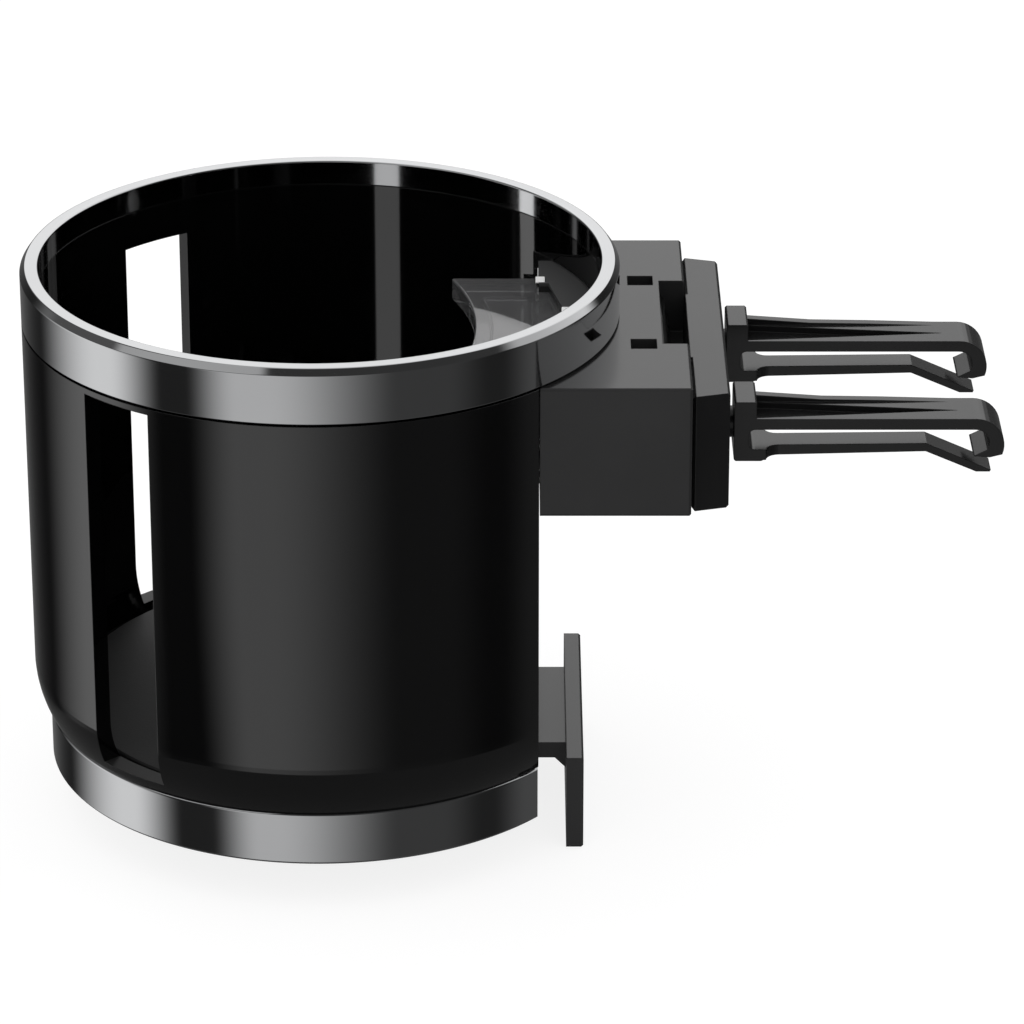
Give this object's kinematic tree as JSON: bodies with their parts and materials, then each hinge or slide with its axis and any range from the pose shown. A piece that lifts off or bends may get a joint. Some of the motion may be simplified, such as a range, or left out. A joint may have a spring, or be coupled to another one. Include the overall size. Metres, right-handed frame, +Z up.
{
  "type": "car air vent cup holder",
  "caption": "Cup holder that hangs on a car's air vent, with a ringed round cup, a sprung pad, turning hook clips and a foot that pulls out to lean on the dashboard.",
  "frame": {"origin": "on the cup's axis, in the plane of the base ring's lower face", "axes": "+X from the cup towards the vent clips, +Z up out of the cup's mouth, Y across"},
  "size_m": [0.137, 0.084, 0.0821],
  "materials": {
    "gloss_black": "polished black moulding",
    "satin_black": "satin black moulding",
    "dark_chrome": "dark chrome plating",
    "mat_rubber": "matt rubber",
    "bright_steel": "bright zinc plate",
    "white_nylon": "white nylon",
    "clear_smoke": "clear smoke-grey plastic"
  },
  "bodies": {
    "holder": {"cup_body": "gloss_black", "top_ring": "dark_chrome", "base_ring": "dark_chrome", "floor_mat": "mat_rubber", "base_cover": "satin_black", "base_screws": "bright_steel", "bracket_housing": "satin_black", "housing_screws": "bright_steel", "slide_bed": "satin_black", "guide_shoes": "white_nylon", "pad_springs": "bright_steel", "vent_bracket": "satin_black", "foot_spring": "bright_steel"},
    "pad": {"stabiliser_pad": "clear_smoke"},
    "near_hook": {"clip_near": "satin_black", "clip_washer_near": "bright_steel", "clip_screw_near": "bright_steel"},
    "far_hook": {"clip_far": "satin_black", "clip_washer_far": "bright_steel", "clip_screw_far": "bright_steel"},
    "foot": {"support_foot": "satin_black"}
  },
  "joints": [
    {"name": "pad_slide", "type": "slide", "parent": "holder", "child": "pad", "axis": [1, 0, 0], "range_m": [0, 0.008], "stiffness_N_per_m": 120, "springref_m": -0.004, "deforming": ["pad_springs"]},
    {"name": "near_hook_turn", "type": "hinge", "parent": "holder", "child": "near_hook", "pos_m": [0.0554, -0.0144, 0.0561], "axis": [1, 0, 0], "range_deg": [-90, 90]},
    {"name": "far_hook_turn", "type": "hinge", "parent": "holder", "child": "far_hook", "pos_m": [0.0554, 0.0144, 0.0561], "axis": [1, 0, 0], "range_deg": [-90, 90]},
    {"name": "foot_slide", "type": "slide", "parent": "holder", "child": "foot", "axis": [1, 0, 0], "range_m": [0, 0.018]}
  ]
}
